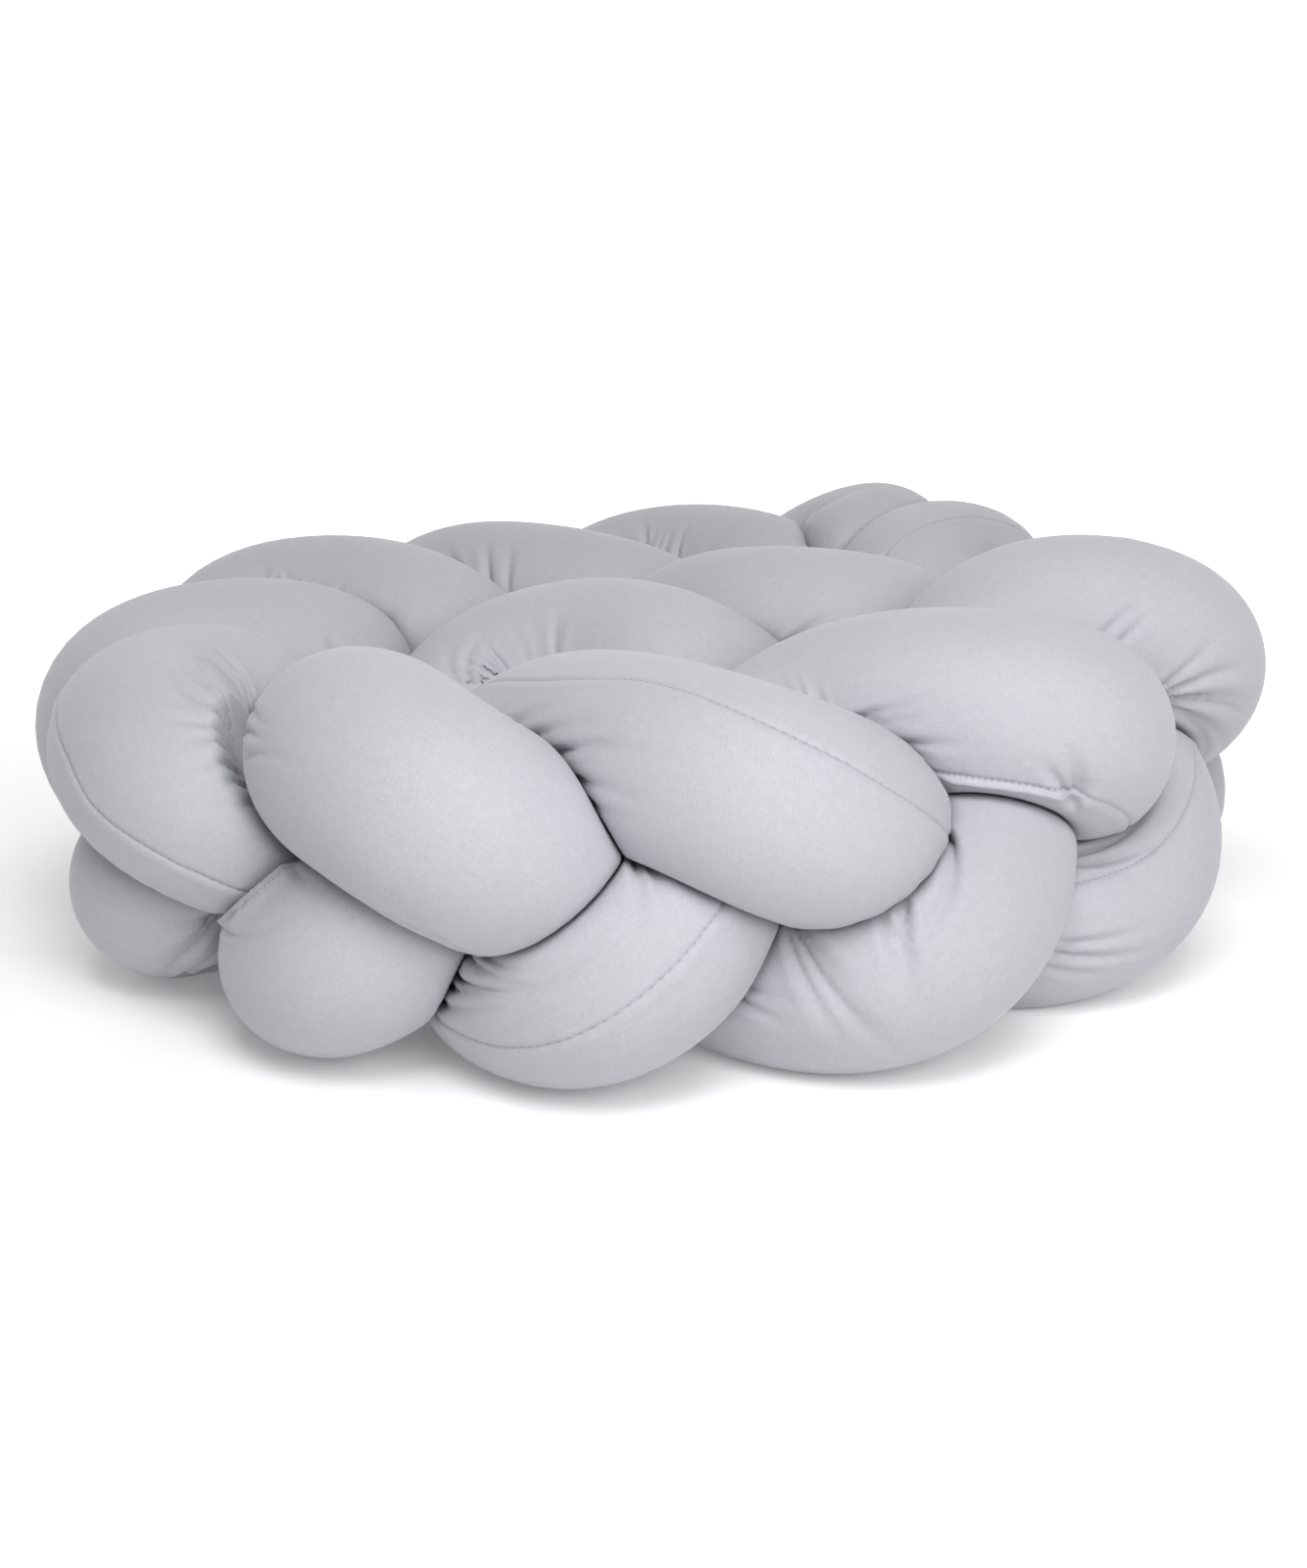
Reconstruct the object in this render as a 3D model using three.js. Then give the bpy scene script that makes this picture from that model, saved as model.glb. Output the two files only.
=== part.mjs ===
// Braided crib bumper, lying coiled on a surface.
// Three stuffed cotton tubes are plaited on edge into one long rope, about two metres of it,
// and the rope is laid in a spiral: one whole turn and a shorter run inside the front wall.
// Millimetres, +Z up, the surface at z = 0, the front of the coil towards -Y.
import * as THREE from "three";

// ---------- driving dimensions ----------
const TUBE_RADIUS = 46; // a stuffed tube where nothing presses it
const SETTLE = 4.5; // how far the lowest folds flatten on the surface
const PLAIT_DEPTH = 36.7; // half swing of a tube across the wall
const GAP = 3.4; // clearance kept between cloth and cloth
const FIRMNESS = 12; // how sharply a round side turns into a pressed side
const SIDES = 12; // sides of a tube's section
const STATION = 20.5; // spacing of the sections along a tube
const CAP = 42; // length of a tube's rounded end where the rope stops
const BLUNT = 2.5; // 2 is a round end, more is a blunter one
const SWELL = 170; // a tube that is stuffed fuller or slacker at its start is so over this length
const PROBE = 5; // spacing of the points that stand for a neighbour's middle line
const OWN_REACH = 140; // a tube's own middle line counts as a neighbour past this length
const COIL_MIDDLE = { x: 0.5, y: 50.73 }; // middle of the coil in the table's x and y; it becomes the origin

// ---------- the folds of the plait ----------
// One row for each upper fold, in order along the rope from its outer end at the front left.
// x, y: middle of the wall there. rise: half the height from the low folds to the high ones.
// lean: top of the wall outwards. slide: top of the wall along the rope.
// shift: the wall as a whole outwards. deep: factor on PLAIT_DEPTH.
const FOLDS = [
  { fold: -1, x: -212.6, y: -122.6, rise: 48.3, lean: 8, slide: -6.9, shift: -2.1, deep: 0.82 },
  { fold: 0, x: -114.6, y: -159.6, rise: 47, lean: 11.5, slide: -4.5, shift: 1.2, deep: 0.74 },
  { fold: 1, x: -9.8, y: -161, rise: 46.9, lean: 9.6, slide: 3.2, shift: 4.8, deep: 1.15 },
  { fold: 2, x: 113.5, y: -120.6, rise: 51.4, lean: -3, slide: 9.2, shift: 8, deep: 0.92 },
  { fold: 3, x: 200.7, y: -30.2, rise: 59.9, lean: -1.4, slide: 5.7, shift: 0.5, deep: 0.93 },
  { fold: 4, x: 226.4, y: 86.7, rise: 49.6, lean: 11, slide: 2.9, shift: 0.7, deep: 1.15 },
  { fold: 5, x: 167.7, y: 193.8, rise: 52, lean: -5.9, slide: 5.8, shift: -0.5, deep: 1.17 },
  { fold: 6, x: 136, y: 254.5, rise: 53.5, lean: -2.5, slide: -2.7, shift: 5.9, deep: 1.27 },
  { fold: 7, x: 37, y: 249.6, rise: 47.2, lean: 4.1, slide: -3.7, shift: 0.2, deep: 1.35 },
  { fold: 8, x: -70, y: 188.5, rise: 46.5, lean: 0.7, slide: 1.1, shift: 3.7, deep: 1.35 },
  { fold: 9, x: -168, y: 136.4, rise: 46.8, lean: 4.3, slide: 3, shift: 4.3, deep: 1.34 },
  { fold: 10, x: -220.9, y: 37.1, rise: 42.7, lean: 9.8, slide: -7.4, shift: -4.1, deep: 0.91 },
  { fold: 11, x: -208.1, y: -68.3, rise: 40.4, lean: 16.4, slide: -14.6, shift: 3, deep: 0.86 },
  { fold: 12, x: -102.5, y: -68, rise: 31.5, lean: 18.9, slide: -11.6, shift: 6.7, deep: 1.12 },
  { fold: 13, x: -31, y: 26.4, rise: 46.1, lean: 12, slide: -7.9, shift: 0.1, deep: 1.26 },
  { fold: 14, x: 64, y: 73.1, rise: 49.9, lean: 7.9, slide: -0.5, shift: 5.2, deep: 1.19 },
  { fold: 15, x: 120.5, y: 162.1, rise: 48.4, lean: 4.5, slide: -2.4, shift: 2.2, deep: 1.1 },
];

// Where each tube starts and stops, counted in folds, and the fold over which it first crests.
// swell: how much thicker it is at its start. taper: length of its rounded end there.
const TUBES = [
  { name: "tube_a", crest: 0, from: -0.42, to: 14.08, swell: 1.08, taper: 80 },
  { name: "tube_b", crest: 1, from: -0.62, to: 14.50, swell: 0.93, taper: 42 },
  { name: "tube_c", crest: 2, from: 0.30, to: 15.05, swell: 1, taper: 42 },
];

const COTTON = { color: 0xc5c7ce, roughness: 0.72, metalness: 0 };

// ---------- middle line of a tube ----------
// A value of the fold table between its rows, on a smooth curve through them.
function fold(column, u) {
  const at = (i) => {
    const last = FOLDS.length - 1;
    if (i < 0) return FOLDS[0][column] + i * (FOLDS[1][column] - FOLDS[0][column]);
    if (i > last)
      return FOLDS[last][column] + (i - last) * (FOLDS[last][column] - FOLDS[last - 1][column]);
    return FOLDS[i][column];
  };
  const v = u - FOLDS[0].fold;
  const i = Math.max(0, Math.min(FOLDS.length - 2, Math.floor(v)));
  const f = v - i;
  const [a, b, c, d] = [at(i - 1), at(i), at(i + 1), at(i + 2)];
  return 0.5 * (2 * b + (c - a) * f + (2 * a - 5 * b + 4 * c - d) * f * f + (3 * b - a - 3 * c + d) * f ** 3);
}

// The tube swings up and down once, and in and out twice, in every three folds.
function middle(tube, u) {
  const turn = Math.PI / 2 - (2 * Math.PI * (u - tube.crest)) / 3;
  const along = new THREE.Vector2(
    fold("x", u + 0.001) - fold("x", u - 0.001),
    fold("y", u + 0.001) - fold("y", u - 0.001),
  ).normalize();
  const out =
    PLAIT_DEPTH * fold("deep", u) * Math.sin(2 * turn) + fold("lean", u) * Math.sin(turn) + fold("shift", u);
  const slide = fold("slide", u) * Math.sin(turn);
  return new THREE.Vector3(
    fold("x", u) + along.y * out + along.x * slide,
    fold("y", u) - along.x * out + along.y * slide,
    TUBE_RADIUS - SETTLE + fold("rise", u) * (1 + Math.sin(turn)),
  );
}

// The middle line as points with their length from the tube's start.
function route(tube) {
  const FINE = 0.004;
  const points = [];
  let run = 0;
  for (let i = 0; ; i++) {
    const u = Math.min(tube.to, tube.from + i * FINE);
    const p = middle(tube, u);
    if (i) run += p.distanceTo(points[i - 1].p);
    points.push({ p, run });
    if (u >= tube.to) break;
  }
  return points;
}

function pointAt(points, run) {
  let lo = 0;
  let hi = points.length - 1;
  while (hi - lo > 1) {
    const m = (lo + hi) >> 1;
    if (points[m].run <= run) lo = m;
    else hi = m;
  }
  const f = (run - points[lo].run) / (points[hi].run - points[lo].run);
  return points[lo].p.clone().lerp(points[hi].p, Math.max(0, Math.min(1, f)));
}

// Radius of a tube where nothing presses it, apart from its ends.
function radius(tube, run) {
  const f = Math.min(1, run / SWELL);
  return TUBE_RADIUS * (1 + (tube.swell - 1) * (1 - f * f * (3 - 2 * f)));
}

function probes(tube, points) {
  const total = points[points.length - 1].run;
  const count = Math.round(total / PROBE);
  return Array.from({ length: count + 1 }, (_, i) => {
    const run = (total * i) / count;
    return { p: pointAt(points, run), run, r: radius(tube, run) };
  });
}

// ---------- stuffed tube pressed by its neighbours ----------
// Lengths of the sections: close together on the rounded ends, even between them.
function stations(total) {
  const list = [];
  const ends = [0.03, 0.12, 0.27, 0.5, 0.76];
  for (const e of ends) list.push(e * CAP);
  const inner = total - 2 * CAP;
  const count = Math.round(inner / STATION);
  for (let i = 0; i <= count; i++) list.push(CAP + (inner * i) / count);
  for (const e of [...ends].reverse()) list.push(total - e * CAP);
  return list;
}

// How full the tube is at a length: its ends are rounded.
function fullness(tube, run, total) {
  const e = Math.min(1, run / tube.taper, (total - run) / CAP);
  return (1 - (1 - e) ** BLUNT) ** (1 / BLUNT);
}

// A side reaches its free radius, or the face it shares with the nearest neighbour.
function reach(p, n, run, thick, free, own, others) {
  let wall = 1e9;
  const d = new THREE.Vector3();
  const meet = (q, gap, fuller) => {
    d.subVectors(q.p, p);
    const toward = d.dot(n) + gap;
    if (toward > 0) wall = Math.min(wall, (d.lengthSq() - gap * gap + fuller) / (2 * toward));
  };
  for (const q of own) {
    const apart = Math.abs(q.run - run);
    if (apart > OWN_REACH) meet(q, GAP, thick ** 2 - q.r ** 2);
    else if (apart > 2) meet(q, 0, 0);
  }
  for (const q of others) meet(q, GAP, thick ** 2 - q.r ** 2);
  return (free ** -FIRMNESS + Math.max(wall, 1) ** -FIRMNESS) ** (-1 / FIRMNESS);
}

function tubeGeometry(tube, points, own, others) {
  const total = points[points.length - 1].run;
  const runs = stations(total);
  const position = [];
  const side = new THREE.Vector3(0, 0, 1);
  const touch = (v) => position.push(v.x, v.y, Math.max(0, v.z));
  for (const run of runs) {
    const p = pointAt(points, run);
    const along = pointAt(points, Math.min(total, run + 1))
      .sub(pointAt(points, Math.max(0, run - 1)))
      .normalize();
    side.addScaledVector(along, -side.dot(along)).normalize();
    const up = new THREE.Vector3().crossVectors(along, side);
    for (let j = 0; j < SIDES; j++) {
      const a = (2 * Math.PI * j) / SIDES;
      const n = side.clone().multiplyScalar(Math.cos(a)).addScaledVector(up, Math.sin(a));
      const thick = radius(tube, run);
      const free = thick * fullness(tube, run, total);
      touch(p.clone().addScaledVector(n, reach(p, n, run, thick, free, own, others)));
    }
  }
  const first = position.length / 3;
  touch(pointAt(points, 0));
  touch(pointAt(points, total));
  const index = [];
  for (let i = 0; i + 1 < runs.length; i++)
    for (let j = 0; j < SIDES; j++) {
      const a = i * SIDES + j;
      const b = i * SIDES + ((j + 1) % SIDES);
      index.push(a, b, b + SIDES, a, b + SIDES, a + SIDES);
    }
  const last = (runs.length - 1) * SIDES;
  for (let j = 0; j < SIDES; j++) {
    index.push(first, (j + 1) % SIDES, j);
    index.push(first + 1, last + j, last + ((j + 1) % SIDES));
  }
  const g = new THREE.BufferGeometry();
  g.setAttribute("position", new THREE.Float32BufferAttribute(position, 3));
  g.setIndex(index);
  g.computeVertexNormals();
  return g;
}

// ---------- the object ----------
const bumper = new THREE.Group();
const coil = new THREE.Group();
bumper.add(coil);
const routes = TUBES.map((tube) => route(tube));
const middles = routes.map((points, i) => probes(TUBES[i], points));
TUBES.forEach((tube, i) => {
  const others = middles.filter((_, j) => j !== i).flat();
  const mesh = new THREE.Mesh(
    tubeGeometry(tube, routes[i], middles[i], others),
    new THREE.MeshStandardMaterial(COTTON),
  );
  mesh.name = tube.name;
  coil.add(mesh);
});

// The origin is under the middle of the coil, on the surface.
coil.position.set(-COIL_MIDDLE.x, -COIL_MIDDLE.y, 0);

export default bumper;
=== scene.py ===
# Braided crib bumper: three stuffed cotton tubes plaited on edge, laid in a spiral coil.
# The shapes are worked out in millimetres, in the part's own frame, and meshed in metres.
import bpy, math
import numpy as np
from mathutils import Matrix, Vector


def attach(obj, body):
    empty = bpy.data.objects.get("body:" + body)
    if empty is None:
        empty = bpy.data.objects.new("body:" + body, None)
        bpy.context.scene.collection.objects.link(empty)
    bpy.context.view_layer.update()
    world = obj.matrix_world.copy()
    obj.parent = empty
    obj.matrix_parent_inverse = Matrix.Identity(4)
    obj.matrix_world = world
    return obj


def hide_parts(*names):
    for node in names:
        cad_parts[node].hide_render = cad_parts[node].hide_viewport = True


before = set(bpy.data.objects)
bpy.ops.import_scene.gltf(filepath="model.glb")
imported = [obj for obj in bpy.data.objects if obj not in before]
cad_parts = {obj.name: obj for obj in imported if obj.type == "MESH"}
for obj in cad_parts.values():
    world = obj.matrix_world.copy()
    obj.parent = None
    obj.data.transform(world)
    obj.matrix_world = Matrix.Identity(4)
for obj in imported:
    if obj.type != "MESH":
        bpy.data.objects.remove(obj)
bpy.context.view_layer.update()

# ---------------------------------------------------------------- sizes, in millimetres
TUBE_RADIUS = 46.0           # a stuffed tube where nothing presses it
SETTLE = 4.5                 # how far the lowest folds flatten on the surface
PLAIT_DEPTH = 36.7           # half swing of a tube across the wall
GAP = 0.6                    # clearance kept between cloth and cloth
FIRMNESS = 26.0              # how sharply a round side turns into a pressed side
CAP = 42.0                   # length of a tube's rounded end
BLUNT = 2.5                  # 2 is a round end, more is a blunter one
SWELL = 170.0                # a tube that is stuffed fuller at its start is so over this length
PROBE = 4.0                  # spacing of the points that stand for a neighbour's middle line
OWN_REACH = 140.0            # a tube's own middle line counts as a neighbour past this length
COIL_MIDDLE = (0.5, 50.73)  # middle of the coil in the table's x and y
COLUMNS = 108                # points round a tube while its cloth settles
STATION = 3.1                # spacing of the rings then
FINE_COLUMNS = 132           # points round the finished tube
BUDGET = 199000              # triangles in it
FINE = 1.4                   # spacing of its rings beside creases; it is even elsewhere
SEAM_HALF = 5.4              # the columns are dense this far either side of a seam
GIRTH = 2 * math.pi * TUBE_RADIUS

# One row for each upper fold. x, y: middle of the wall there. rise: half the height from the low
# folds to the high ones. lean: top of the wall outwards. slide: top of the wall along the rope.
# shift: the wall as a whole outwards. deep: factor on PLAIT_DEPTH.
FOLDS = [
    dict(fold=-1, x=-212.6, y=-122.6, rise=48.3, lean=8, slide=-6.9, shift=-2.1, deep=0.82),
    dict(fold=0, x=-114.6, y=-159.6, rise=47, lean=11.5, slide=-4.5, shift=1.2, deep=0.74),
    dict(fold=1, x=-9.8, y=-161, rise=46.9, lean=9.6, slide=3.2, shift=4.8, deep=1.15),
    dict(fold=2, x=113.5, y=-120.6, rise=51.4, lean=-3, slide=9.2, shift=8, deep=0.92),
    dict(fold=3, x=200.7, y=-30.2, rise=59.9, lean=-1.4, slide=5.7, shift=0.5, deep=0.93),
    dict(fold=4, x=226.4, y=86.7, rise=49.6, lean=11, slide=2.9, shift=0.7, deep=1.15),
    dict(fold=5, x=167.7, y=193.8, rise=52, lean=-5.9, slide=5.8, shift=-0.5, deep=1.17),
    dict(fold=6, x=136, y=254.5, rise=53.5, lean=-2.5, slide=-2.7, shift=5.9, deep=1.27),
    dict(fold=7, x=37, y=249.6, rise=47.2, lean=4.1, slide=-3.7, shift=0.2, deep=1.35),
    dict(fold=8, x=-70, y=188.5, rise=46.5, lean=0.7, slide=1.1, shift=3.7, deep=1.35),
    dict(fold=9, x=-168, y=136.4, rise=46.8, lean=4.3, slide=3, shift=4.3, deep=1.34),
    dict(fold=10, x=-220.9, y=37.1, rise=42.7, lean=9.8, slide=-7.4, shift=-4.1, deep=0.91),
    dict(fold=11, x=-208.1, y=-68.3, rise=40.4, lean=16.4, slide=-14.6, shift=3, deep=0.86),
    dict(fold=12, x=-102.5, y=-68, rise=31.5, lean=18.9, slide=-11.6, shift=6.7, deep=1.12),
    dict(fold=13, x=-31, y=26.4, rise=46.1, lean=12, slide=-7.9, shift=0.1, deep=1.26),
    dict(fold=14, x=64, y=73.1, rise=49.9, lean=7.9, slide=-0.5, shift=5.2, deep=1.19),
    dict(fold=15, x=120.5, y=162.1, rise=48.4, lean=4.5, slide=-2.4, shift=2.2, deep=1.1),
]

# Where each tube starts and stops, counted in folds, the fold over which it first crests, and how much
# thicker it is at its start.
TUBES = [
    {"name": "tube_a", "crest": 0, "from": -0.42, "to": 14.08, "swell": 1.08, "taper": 80},
    {"name": "tube_b", "crest": 1, "from": -0.62, "to": 14.50, "swell": 0.93, "taper": 42},
    {"name": "tube_c", "crest": 2, "from": 0.30, "to": 15.05, "swell": 1, "taper": 42},
]

# Where the lengthwise seam lies: degrees round the tube, from the direction that is up at its start.
EYE = np.array([-0.9 - COIL_MIDDLE[0], -976.2 - COIL_MIDDLE[1], 356.6])  # where the camera stands, in the part's millimetres
SEEN = {  # folds whose near side the photograph shows
    "tube_a": [(-1, 3.9), (8, 11.5)],
    "tube_b": [(-1, 3.3), (6, 7.9), (12, 13.8)],
    "tube_c": [(-1, 2.7), (7, 8.8), (10.5, 12), (13.3, 14.6)],
}

SEAMS = {
    "tube_a": [(-1, -125), (3, -128), (4.5, -190), (6, -255), (7.5, -275), (9, -258), (10, -215), (11, -125), (12, -105), (15, -105)],
    "tube_b": [(-1, -15), (0.3, -8), (0.88, 47), (0.97, 43), (1.06, 37), (1.14, 36), (1.25, 41), (1.34, 47), (1.41, 53), (1.5, 58),
               (2.74, 76), (2.85, 78), (2.95, 83), (3.07, 96), (5, 122), (7, 169), (10, 182), (11.5, 250), (13, 285), (15, 290)],
    "tube_c": [(0, 108), (0.64, 113), (0.72, 117), (0.8, 120), (1.05, 110), (2.11, 130), (2.28, 133), (3.4, 95), (4.74, 13),
               (4.81, 38), (4.97, 58), (5.11, 64), (6.5, 100), (8, 115), (10.4, 58), (11.09, 63), (11.19, 73),
               (11.25, 85), (11.31, 89), (11.43, 94), (12.6, 130), (13.95, 132), (14.05, 112), (16, 110)],
}

DEEPER = 2.65                # factor on the depths of the table below
LONGER = 2.0                 # factor on the lengths: the last part of a crease is too shallow to see

# Sewn edges that stand proud: a closed end, and the gap in a seam through which the tube was stuffed.
CLOSURES = [
    dict(tube="tube_b", fold=-0.40, turn=67, fold2=-0.02, turn2=31, height=4.2, width=3.6, ruffle=0.1, step=6.0, inside=1, bow=0.0, stitch=2.6),
    dict(tube="tube_c", fold=1.95, turn=130, fold2=2.29, turn2=136, height=2.2, width=1.9, ruffle=0.5, step=4.5, inside=-1, bow=0.0, stitch=2.2),
]

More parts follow.
